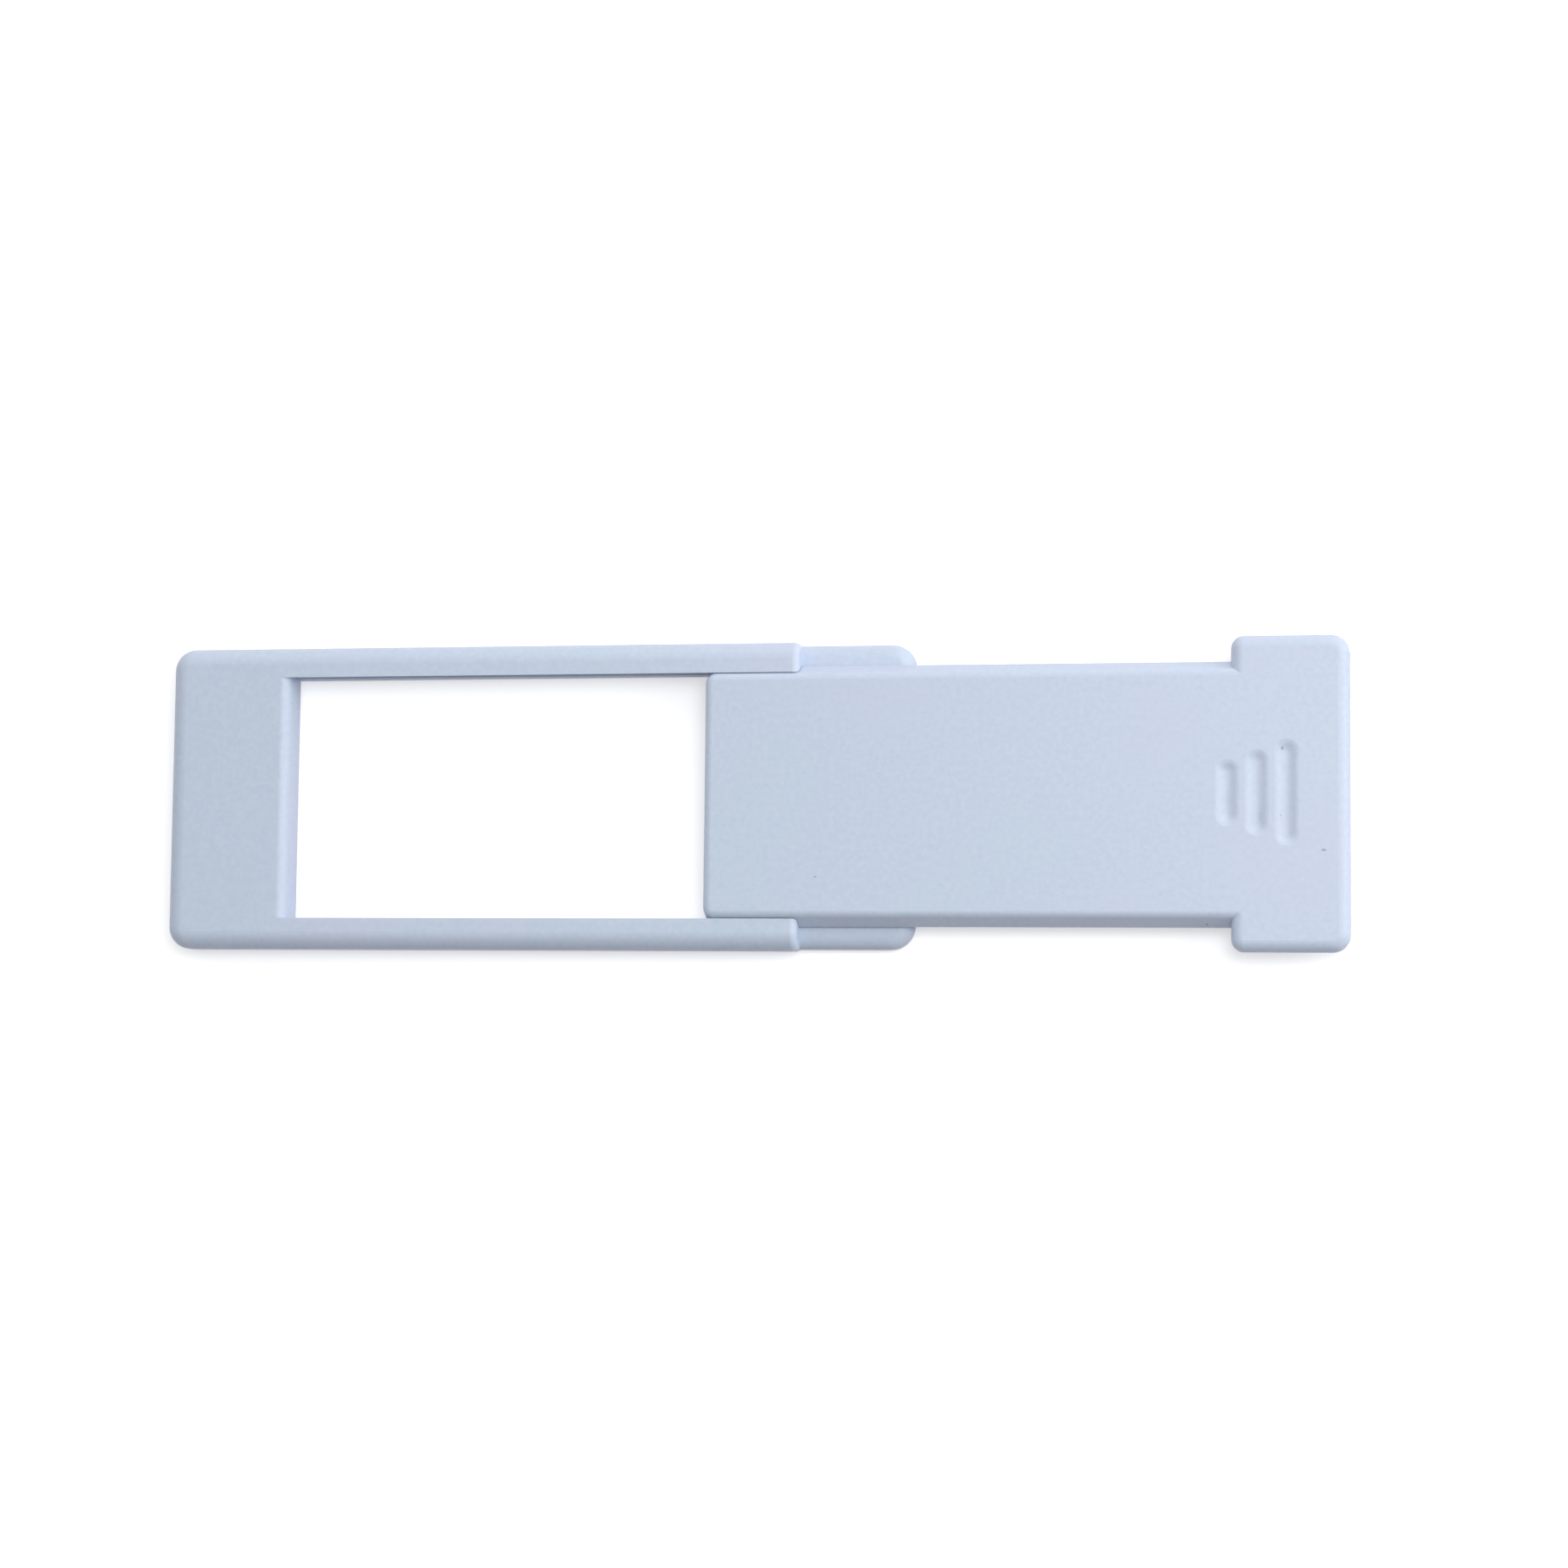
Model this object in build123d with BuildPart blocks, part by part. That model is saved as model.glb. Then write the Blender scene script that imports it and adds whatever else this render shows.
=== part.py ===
import os

from build123d import *

# Sliding webcam cover, stuck on by its back, modelled open.
# +X is the way the slider opens, +Z points away from the screen.
# The origin is the middle of the frame, on the plane that the tape sticks to.

# Frame
frame_length = 35.0
frame_width = 14.0
bar_length = 5.8  # solid end of the frame
step_length = 5.2  # low floor at the open end, where the head sits when shut
step_inset = 0.08  # that floor's sides from the rails' sides
floor_lap = 0.6  # how far that floor reaches under the lips
floor_thickness = 0.7
rail_width = 1.42  # of each rail, over its lip
frame_corner_radius = 1.0
step_corner_radius = 1.1
outer_rounding = 0.8
bar_rounding = 0.45  # of the bar's edge on the window
lip_rounding = 0.05
lip_end_rounding = 0.3
step_rounding = 0.6

# Slider
slider_thickness = 1.05
slider_proud = 0.15  # how far its top stands over the frame's
foot_height = 0.12  # upright foot of the tongue's sides
side_lean = 0.48  # how far those sides lean in, from the foot to the top
lip_overlap = 0.33  # how far each lip reaches over the tongue's foot
tongue_rounding = 0.38
head_rounding = 0.52
head_corner_radius = 0.8
ear_corner_radius = 0.55
tip_corner_radius = 0.5
head_overhang = 0.1  # past the frame's end when shut, for a fingertip
travel = 19.3

# Running clearances
floor_gap = 0.05  # slider over the floor
side_gap = 0.04  # tongue beside the channel's leaning wall
shoulder_gap = 0.1  # head from the ends of the lips, when shut
tip_gap = 0.4  # tongue from the bar, when shut

# Grip grooves in the head, round like a finger's track
groove_count = 3
groove_width = 0.8
groove_depth = 0.13
groove_pitch = 1.3
groove_length = 2.7  # the shortest
groove_growth = 0.88  # each next one is longer by this
groove_inset = 2.75  # last groove from the head's end
groove_rounding = 0.5

# Stop nibs on the floor and their slots under the slider
nib_radius = 0.45
nib_height = 0.25
nib_inset = 1.95  # from the tongue's foot
nib_rounding = 0.1
nib_top_gap = 0.1
nib_side_gap = 0.15
stop_gap = 0.1

# Tape
tape_thickness = 0.2
tape_inset = 0.7
tape_corner_radius = 0.5

# Heights
floor_top = tape_thickness + floor_thickness
slider_bottom = floor_top + floor_gap
foot_top = slider_bottom + foot_height
slider_top = slider_bottom + slider_thickness
frame_top = slider_top - slider_proud

# Places along the frame
frame_left = -frame_length / 2
frame_right = frame_length / 2
bar_edge = frame_left + bar_length
lip_end = frame_right - step_length
floor_length = step_length + floor_lap
nib_x = lip_end + step_length / 2

# Places along the slider, open
head_length = step_length - shoulder_gap + head_overhang
tongue_length = lip_end + shoulder_gap - bar_edge - tip_gap
shoulder_x = lip_end + shoulder_gap + travel
tip_x = shoulder_x - tongue_length
head_end = shoulder_x + head_length

# Widths
lip_gap = frame_width - 2 * rail_width
tongue_width = lip_gap + 2 * lip_overlap  # over its feet
channel_width = tongue_width + 2 * side_gap
nib_spacing = tongue_width - 2 * nib_inset

# Ball that leaves a groove of that width and depth
ball_radius = (groove_width**2 / 4 + groove_depth**2) / (2 * groove_depth)

from_left = (Align.MIN, Align.CENTER)
from_right = (Align.MAX, Align.CENTER)

os.makedirs("parts", exist_ok=True)


def dovetail(foot_width):
    # corners across the slide of the tongue, or of its channel, above the foot
    half = foot_width / 2
    return (-half, foot_top), (half, foot_top), (half - side_lean, slider_top), (side_lean - half, slider_top)


# Bar and rails of the frame: one U with rounded edges, open towards +X
with BuildPart() as rails:
    with BuildSketch(Plane.XY.offset(tape_thickness)):
        with Locations((frame_left, 0)):
            Rectangle(lip_end - frame_left, frame_width, align=from_left)
        fillet(vertices().group_by(Axis.X)[0], radius=frame_corner_radius)
        with Locations((bar_edge, 0)):
            Rectangle(lip_end - bar_edge, lip_gap, align=from_left, mode=Mode.SUBTRACT)
    extrude(amount=frame_top - tape_thickness)

    # the rim's fillet runs on from the bar's end along both rails
    fillet(faces().sort_by(Axis.Z)[-1].edges().group_by(Axis.X)[0], radius=outer_rounding)
    end_edges = faces().filter_by(Axis.X).group_by(Axis.X)[-1].edges()
    inner_edges = end_edges.group_by(lambda edge: abs(edge.center().Y))[0]
    fillet(end_edges - end_edges.group_by(Axis.Z)[0] - inner_edges, radius=lip_end_rounding)
    window_edges = faces().sort_by(Axis.Z)[-1].edges()
    window_edges = window_edges.filter_by_position(Axis.Y, -lip_gap / 2, lip_gap / 2)
    fillet(window_edges - window_edges.group_by(Axis.X)[-1], radius=lip_rounding)

    # the bar's edge on the window is rounded more, right up to the rails
    with BuildSketch(Plane.XZ):
        with Locations((bar_edge, frame_top)):
            Rectangle(bar_rounding, bar_rounding, align=(Align.MAX, Align.MAX))
        with Locations((bar_edge - bar_rounding, frame_top - bar_rounding)):
            Circle(bar_rounding, mode=Mode.SUBTRACT)
    extrude(amount=lip_gap / 2, both=True, mode=Mode.SUBTRACT)


# Frame: the rails on their low floor, with the channel for the tongue and the stop nibs
with BuildPart() as frame:
    with BuildSketch(Plane.XY.offset(tape_thickness)):
        with Locations((frame_right, 0)):
            Rectangle(floor_length, frame_width - 2 * step_inset, align=from_right)
        fillet(vertices().group_by(Axis.X)[-1], radius=step_corner_radius)
    extrude(amount=floor_thickness)
    floor_edges = faces().sort_by(Axis.Z)[-1].edges()
    fillet(floor_edges - floor_edges.group_by(Axis.X)[0], radius=step_rounding)
    add(rails.part)

    with BuildSketch(Plane.YZ.offset(bar_edge)):
        with Locations((0, floor_top)):
            Rectangle(channel_width, foot_top - floor_top, align=(Align.CENTER, Align.MIN))
        Polygon(*dovetail(channel_width))
    extrude(amount=frame_right - bar_edge, mode=Mode.SUBTRACT)

    with BuildSketch(Plane.XY.offset(floor_top)):
        with Locations((nib_x, 0)):
            with GridLocations(0, nib_spacing, 1, 2):
                Circle(nib_radius)
    extrude(amount=nib_height)
    fillet(faces(Select.LAST).group_by(Axis.Z)[-1].edges(), radius=nib_rounding)
frame.part.label = "frame"
export_step(frame.part, "parts/frame.step")


# Tongue of the slider: a dovetail with a rounded top, on an upright foot, that runs on into the head
with BuildPart() as tongue:
    with BuildSketch(Plane.YZ.offset(tip_x)):
        Polygon(*dovetail(tongue_width))
    extrude(amount=tongue_length + head_length / 2)
    tip_edges = faces().filter_by(Axis.X).sort_by(Axis.X)[0].edges()
    fillet(tip_edges - tip_edges.filter_by(Axis.Y), radius=tip_corner_radius)
    top_edges = faces().sort_by(Axis.Z)[-1].edges()
    fillet(top_edges - top_edges.group_by(Axis.X)[-1], radius=tongue_rounding)
    extrude(faces().sort_by(Axis.Z)[0], amount=foot_height)


# Slider: the tongue with its wide head, grip grooves and stop slots
with BuildPart() as slider:
    with BuildSketch(Plane.XY.offset(slider_bottom)):
        with Locations((shoulder_x, 0)):
            Rectangle(head_length, frame_width, align=from_left)
        fillet(vertices().group_by(Axis.X)[0], radius=ear_corner_radius)
        fillet(vertices().group_by(Axis.X)[-1], radius=head_corner_radius)
    extrude(amount=slider_thickness)
    fillet(faces().sort_by(Axis.Z)[-1].edges(), radius=head_rounding)
    add(tongue.part)

    # each groove is the track of a ball end mill, a straight run with a round start and end
    for index in range(groove_count):
        groove_x = head_end - groove_inset - (groove_count - 1 - index) * groove_pitch
        groove_run = groove_length + index * groove_growth - groove_width
        with Locations((groove_x, 0, slider_top - groove_depth + ball_radius)):
            Cylinder(ball_radius, groove_run, rotation=(90, 0, 0), mode=Mode.SUBTRACT)
            with GridLocations(0, groove_run, 1, 2):
                Sphere(ball_radius, mode=Mode.SUBTRACT)
    groove_rims = faces().sort_by(Axis.Z)[-1].inner_wires()
    fillet(groove_rims.edges(), radius=groove_rounding)

    slot_start = nib_x - nib_radius - stop_gap
    slot_end = nib_x + travel + nib_radius + stop_gap
    with BuildSketch(Plane.XY.offset(slider_bottom)):
        with Locations(((slot_start + slot_end) / 2, 0)):
            with GridLocations(0, nib_spacing, 1, 2):
                SlotOverall(slot_end - slot_start, 2 * (nib_radius + nib_side_gap))
    extrude(amount=nib_height - floor_gap + nib_top_gap, mode=Mode.SUBTRACT)
slider.part.label = "slider"
export_step(slider.part, "parts/slider.step")


# Tape: one pad on the back of the bar, one on the back of the crossbar
pads = {
    "adhesive_pad_left": (frame_left + bar_length / 2, bar_length),
    "adhesive_pad_right": (frame_right - floor_length / 2, floor_length),
}
for pad_name, (pad_x, backing_length) in pads.items():
    with BuildPart() as pad:
        with BuildSketch():
            with Locations((pad_x, 0)):
                RectangleRounded(
                    backing_length - 2 * tape_inset,
                    frame_width - 2 * tape_inset,
                    tape_corner_radius,
                )
        extrude(amount=tape_thickness)
    pad.part.label = pad_name
    export_step(pad.part, f"parts/{pad_name}.step")
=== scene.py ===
import math

import bpy
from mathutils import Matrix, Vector


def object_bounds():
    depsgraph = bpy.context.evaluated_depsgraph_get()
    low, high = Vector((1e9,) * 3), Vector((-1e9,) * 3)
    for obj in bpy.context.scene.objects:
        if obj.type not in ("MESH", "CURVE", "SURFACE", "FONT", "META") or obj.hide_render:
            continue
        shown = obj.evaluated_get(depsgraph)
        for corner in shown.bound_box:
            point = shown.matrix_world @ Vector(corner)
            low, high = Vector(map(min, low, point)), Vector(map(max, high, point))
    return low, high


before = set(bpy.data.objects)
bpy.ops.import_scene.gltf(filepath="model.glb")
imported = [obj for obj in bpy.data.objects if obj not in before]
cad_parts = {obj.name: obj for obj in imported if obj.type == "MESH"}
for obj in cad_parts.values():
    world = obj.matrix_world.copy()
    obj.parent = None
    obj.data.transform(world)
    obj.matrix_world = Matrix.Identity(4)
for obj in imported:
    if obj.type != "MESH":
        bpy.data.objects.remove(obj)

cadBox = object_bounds()
print("frame loaded:", ", ".join(sorted(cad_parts)))

mmPerMetre = 1000

# Most of a noise texture's values lie between these
noiseLow, noiseHigh = 0.3, 0.7

# Sockets of the Mix node, by number because their names repeat
colourA, colourB, mixedColour = 6, 7, 2
valueA, valueB, mixedValue = 2, 3, 0


def mm(value):
    return value / mmPerMetre


def mmPoint(values):
    return [mm(value) for value in values]


def perMetre(sizeMm):
    return mmPerMetre / sizeMm  # pattern scale on Object coordinates, which are in metres


def hexToLinear(hexColour):
    # the standard sRGB curve, with full alpha
    channels = [int(hexColour[i:i + 2], 16) / 255 for i in (1, 3, 5)]
    linear = [c / 12.92 if c <= 0.04045 else ((c + 0.055) / 1.055) ** 2.4 for c in channels]
    return (*linear, 1.0)


def addNode(tree, kind, links=None, **settings):
    # links: input name or number -> a socket to join, or a plain value
    node = tree.nodes.new(kind)
    for name, value in settings.items():
        setattr(node, name, value)
    for name, value in (links or {}).items():
        if isinstance(value, bpy.types.NodeSocket):
            tree.links.new(value, node.inputs[name])
        else:
            node.inputs[name].default_value = value
    return node


def newMaterial(name):
    material = bpy.data.materials.new(name)
    material.use_nodes = True
    material.node_tree.nodes.clear()
    return material, material.node_tree


def dress(node, material):
    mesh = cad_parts[node].data
    mesh.materials.clear()
    mesh.materials.append(material)


# Moulded ABS, white with a cool cast, from a spark-eroded mould: a faintly mottled satin skin,
# soft at the edges because a little light goes in, with a grain too fine to feel
plastic = {
    "coolPatch": "#C3D3E4",  # the two tints of its mottle
    "warmPatch": "#CCD8E8",
    "patchMm": 0.25,
    "patchDetail": 2.0,
    "cloudTint": "#D2D2EA",  # a slow drift of tint, as the melt met and cooled
    "cloudMm": 7.0,
    "cloudDetail": 1.0,
    "cloudAmount": 0.3,
    "grainMm": 0.13,  # real grit is about 0.03 mm, drawn coarser so that it shows
    "grainDetail": 2.0,
    "grainHeightMm": 0.0022,
    "roughness": (0.4, 0.5),
    "ior": 1.53,
    "subsurface": 0.3,
    "subsurfaceMm": 0.35,
    "subsurfaceSpread": (1.0, 1.0, 1.0),  # red, green and blue go equally far
}

# Dust caught on the slider: its place when open, its half sizes and how dark it is
specks = {
    "colour": "#7C8794",
    "edge": (1.3, 0.3),  # where it starts and where it is full, in half sizes from its middle
    "marks": [
        {"atMm": (13.18, -3.71, 2.0), "halfMm": (0.08, 0.045, 0.06), "depth": 0.6},  # on the tongue
        {"atMm": (13.4, -2.56, 2.0), "halfMm": (0.06, 0.07, 0.06), "depth": 0.15},
        {"atMm": (30.63, -5.78, 1.32), "halfMm": (0.06, 0.08, 0.12), "depth": 0.65},  # on its near side
        {"atMm": (35.75, -2.54, 2.0), "halfMm": (0.12, 0.055, 0.06), "depth": 0.75},  # on the head
        {"atMm": (33.96, 1.95, 1.95), "halfMm": (0.06, 0.1, 0.12), "depth": 0.75},  # in the long groove
        {"atMm": (33.89, -1.01, 1.95), "halfMm": (0.06, 0.05, 0.12), "depth": 0.4},
        {"atMm": (33.01, -1.03, 1.9), "halfMm": (0.12, 0.25, 0.2), "depth": 0.14},  # in the middle groove
    ],
}


def mouldedAbs(name, marks):
    material, tree = newMaterial(name)
    place = addNode(tree, "ShaderNodeTexCoord").outputs["Object"]

    # small cool and warm patches
    patch = addNode(tree, "ShaderNodeTexNoise",
                    {"Vector": place, "Scale": perMetre(plastic["patchMm"]),
                     "Detail": plastic["patchDetail"]})
    spread = addNode(tree, "ShaderNodeMapRange",
                     {"Value": patch.outputs["Fac"], "From Min": noiseLow, "From Max": noiseHigh})
    tint = addNode(tree, "ShaderNodeMix",
                   {"Factor": spread.outputs["Result"],
                    colourA: hexToLinear(plastic["coolPatch"]),
                    colourB: hexToLinear(plastic["warmPatch"])},
                   data_type="RGBA")

    # a slow cloud over them, strongest where its noise is low
    cloud = addNode(tree, "ShaderNodeTexNoise",
                    {"Vector": place, "Scale": perMetre(plastic["cloudMm"]),
                     "Detail": plastic["cloudDetail"]})
    drift = addNode(tree, "ShaderNodeMapRange",
                    {"Value": cloud.outputs["Fac"], "From Min": noiseLow, "From Max": noiseHigh,
                     "To Min": plastic["cloudAmount"], "To Max": 0.0})
    colour = addNode(tree, "ShaderNodeMix",
                     {"Factor": drift.outputs["Result"], colourA: tint.outputs[mixedColour],
                      colourB: hexToLinear(plastic["cloudTint"])},
                     data_type="RGBA").outputs[mixedColour]

    # each speck is a soft oval
    for mark in marks:
        centred = addNode(tree, "ShaderNodeVectorMath",
                          {0: place, 1: mmPoint(mark["atMm"])}, operation="SUBTRACT")
        oval = addNode(tree, "ShaderNodeVectorMath",
                       {0: centred.outputs["Vector"], 1: mmPoint(mark["halfMm"])},
                       operation="DIVIDE")
        reach = addNode(tree, "ShaderNodeVectorMath", {0: oval.outputs["Vector"]}, operation="LENGTH")
        cover = addNode(tree, "ShaderNodeMapRange",
                        {"Value": reach.outputs["Value"],
                         "From Min": specks["edge"][0], "From Max": specks["edge"][1],
                         "To Min": 0.0, "To Max": mark["depth"]},
                        interpolation_type="SMOOTHSTEP")
        colour = addNode(tree, "ShaderNodeMix",
                         {"Factor": cover.outputs["Result"], colourA: colour,
                          colourB: hexToLinear(specks["colour"])},
                         data_type="RGBA").outputs[mixedColour]

    # the mould's grain lifts the skin and breaks up its gloss
    grain = addNode(tree, "ShaderNodeTexNoise",
                    {"Vector": place, "Scale": perMetre(plastic["grainMm"]),
                     "Detail": plastic["grainDetail"]})
    gloss = addNode(tree, "ShaderNodeMapRange",
                    {"Value": grain.outputs["Fac"], "From Min": noiseLow, "From Max": noiseHigh,
                     "To Min": plastic["roughness"][0], "To Max": plastic["roughness"][1]})
    relief = addNode(tree, "ShaderNodeBump",
                     {"Height": grain.outputs["Fac"], "Strength": 1.0,
                      "Distance": mm(plastic["grainHeightMm"])})

    skin = addNode(tree, "ShaderNodeBsdfPrincipled",
                   {"Base Color": colour, "Roughness": gloss.outputs["Result"],
                    "Normal": relief.outputs["Normal"], "IOR": plastic["ior"],
                    "Subsurface Weight": plastic["subsurface"],
                    "Subsurface Radius": plastic["subsurfaceSpread"],
                    "Subsurface Scale": mm(plastic["subsurfaceMm"])})
    addNode(tree, "ShaderNodeOutputMaterial", {"Surface": skin.outputs["BSDF"]})
    return material


dress("frame", mouldedAbs("frameMouldedAbs", []))
dress("slider", mouldedAbs("sliderMouldedAbs", specks["marks"]))
print("moulded ABS on frame and slider")

# Die-cut acrylic foam tape: milky, matt, full of closed cells
foam = {
    "colour": "#D9D8D3",
    "cellColour": "#C4C3BE",
    "cellMm": 0.12,
    "cellHeightMm": 0.01,
    "roughness": 0.75,
    "ior": 1.47,
}


def acrylicFoam(name):
    material, tree = newMaterial(name)
    place = addNode(tree, "ShaderNodeTexCoord").outputs["Object"]
    cells = addNode(tree, "ShaderNodeTexVoronoi",
                    {"Vector": place, "Scale": perMetre(foam["cellMm"])})
    colour = addNode(tree, "ShaderNodeMix",
                     {"Factor": cells.outputs["Distance"],
                      colourA: hexToLinear(foam["cellColour"]), colourB: hexToLinear(foam["colour"])},
                     data_type="RGBA").outputs[mixedColour]
    relief = addNode(tree, "ShaderNodeBump",
                     {"Height": cells.outputs["Distance"], "Strength": 1.0,
                      "Distance": mm(foam["cellHeightMm"])})
    body = addNode(tree, "ShaderNodeBsdfPrincipled",
                   {"Base Color": colour, "Roughness": foam["roughness"], "IOR": foam["ior"],
                    "Normal": relief.outputs["Normal"]})
    addNode(tree, "ShaderNodeOutputMaterial", {"Surface": body.outputs["BSDF"]})
    return material


foamTape = acrylicFoam("acrylicFoamTape")
for pad in ("adhesive_pad_left", "adhesive_pad_right"):
    dress(pad, foamTape)
print("foam tape on both pads")

# Floor: smooth white paper, lifted to white for the eye, with the cover's shadow left in
floor = {
    "sizeM": 3.0,
    "colour": "#F2F3F5",  # as seen
    "bounceColour": "#A49DB4",  # as it lights the cover, so that its flanks stay dark
    "lift": 0.48,  # glow that only the eye and gloss meet
}

bpy.ops.object.select_all(action="DESELECT")
bpy.ops.mesh.primitive_plane_add(size=floor["sizeM"], location=(0, 0, cadBox[0].z))
floorPlane = bpy.context.object
floorPlane.name = "studioFloor"


def seenDirectly(tree):
    # 1 for the camera and for mirror-like or clear surfaces, 0 for light that falls on the object
    path = addNode(tree, "ShaderNodeLightPath")
    seen = path.outputs["Is Camera Ray"]
    for ray in ("Is Glossy Ray", "Is Transmission Ray"):
        seen = addNode(tree, "ShaderNodeMath", {0: seen, 1: path.outputs[ray]},
                       operation="MAXIMUM").outputs["Value"]
    return seen


paper, paperTree = newMaterial("whitePaperSweep")
seen = seenDirectly(paperTree)
sheet = addNode(paperTree, "ShaderNodeMix",
                {"Factor": seen, colourA: hexToLinear(floor["bounceColour"]),
                 colourB: hexToLinear(floor["colour"])},
                data_type="RGBA")
matt = addNode(paperTree, "ShaderNodeBsdfDiffuse", {"Color": sheet.outputs[mixedColour]})
lift = addNode(paperTree, "ShaderNodeMath", {0: seen, 1: floor["lift"]}, operation="MULTIPLY")
glow = addNode(paperTree, "ShaderNodeEmission", {"Strength": lift.outputs["Value"]})
both = addNode(paperTree, "ShaderNodeAddShader",
               {0: matt.outputs["BSDF"], 1: glow.outputs["Emission"]})
addNode(paperTree, "ShaderNodeOutputMaterial", {"Surface": both.outputs["Shader"]})
paper.cycles.emission_sampling = "NONE"  # the glow is no lamp
floorPlane.data.materials.append(paper)
print("floor laid")

# Studio light: soft panels on all sides but the near one,
# a lamp overhead and a low window light, both to the right
studio = {
    "colour": "#FFFFFF",
    "panels": {  # the way to each panel's middle, and how bright it is there
        "right": ((1, 0, 0), 0.95),
        "left": ((-1, 0, 0), 0.58),
        "farSide": ((0, 1, 0), 1.0),
    },
    "backdrop": 1.0,  # the panels as the eye and gloss meet them, where 1 is white
    "lamps": {
        "overheadLamp": {"atMm": (60, 30, 150), "sizeMm": 80, "watts": 0.079},
        "windowLight": {"atMm": (170, 40, 70), "sizeMm": 90, "watts": 0.084},
    },
    "aimAtMm": (10, 0, 2),
}

world = bpy.data.worlds.new("lightTent")
world.use_nodes = True
bpy.context.scene.world = world
sky = world.node_tree
sky.nodes.clear()
towards = addNode(sky, "ShaderNodeTexCoord").outputs["Object"]
panelLight = 0.0
for way, brightness in studio["panels"].values():
    # each panel fades with the cosine of the angle from its middle, and ends at a right angle
    facing = addNode(sky, "ShaderNodeVectorMath", {0: towards, 1: way}, operation="DOT_PRODUCT")
    shine = addNode(sky, "ShaderNodeMath", {0: facing.outputs["Value"], 1: 0.0}, operation="MAXIMUM")
    panelLight = addNode(sky, "ShaderNodeMath",
                         {0: shine.outputs["Value"], 1: brightness, 2: panelLight},
                         operation="MULTIPLY_ADD").outputs["Value"]
level = addNode(sky, "ShaderNodeMix",
                {"Factor": seenDirectly(sky), valueA: panelLight, valueB: studio["backdrop"]})
tent = addNode(sky, "ShaderNodeBackground",
               {"Color": hexToLinear(studio["colour"]), "Strength": level.outputs[mixedValue]})
addNode(sky, "ShaderNodeOutputWorld", {"Surface": tent.outputs["Background"]})

aimPoint = Vector(mmPoint(studio["aimAtMm"]))
for lampName, values in studio["lamps"].items():
    bpy.ops.object.light_add(type="AREA", location=mmPoint(values["atMm"]))
    lamp = bpy.context.object
    lamp.name = lampName
    lamp.data.size = mm(values["sizeMm"])
    lamp.data.energy = values["watts"]
    # a lamp shines along its own -Z, so +Z points away from the cover
    lamp.rotation_euler = (lamp.location - aimPoint).to_track_quat("Z", "Y").to_euler()
print("lights set")

# Camera: almost square on to the front, over the slider's end and a little to the near side
view = {
    "lensMm": 80.0,
    "sensorMm": 36.0,
    "atMm": (40.12, -12.98, 155.79),
    "turnDeg": (5.03, 10.41, 0.62),
    "clipFromMm": 1.0,
}

bpy.ops.object.camera_add(location=mmPoint(view["atMm"]),
                          rotation=[math.radians(turn) for turn in view["turnDeg"]])
camera = bpy.context.object
camera.data.lens = view["lensMm"]
camera.data.sensor_width = view["sensorMm"]
camera.data.clip_start = mm(view["clipFromMm"])
bpy.context.scene.camera = camera
bpy.context.scene.view_settings.view_transform = "Standard"
print("camera set")
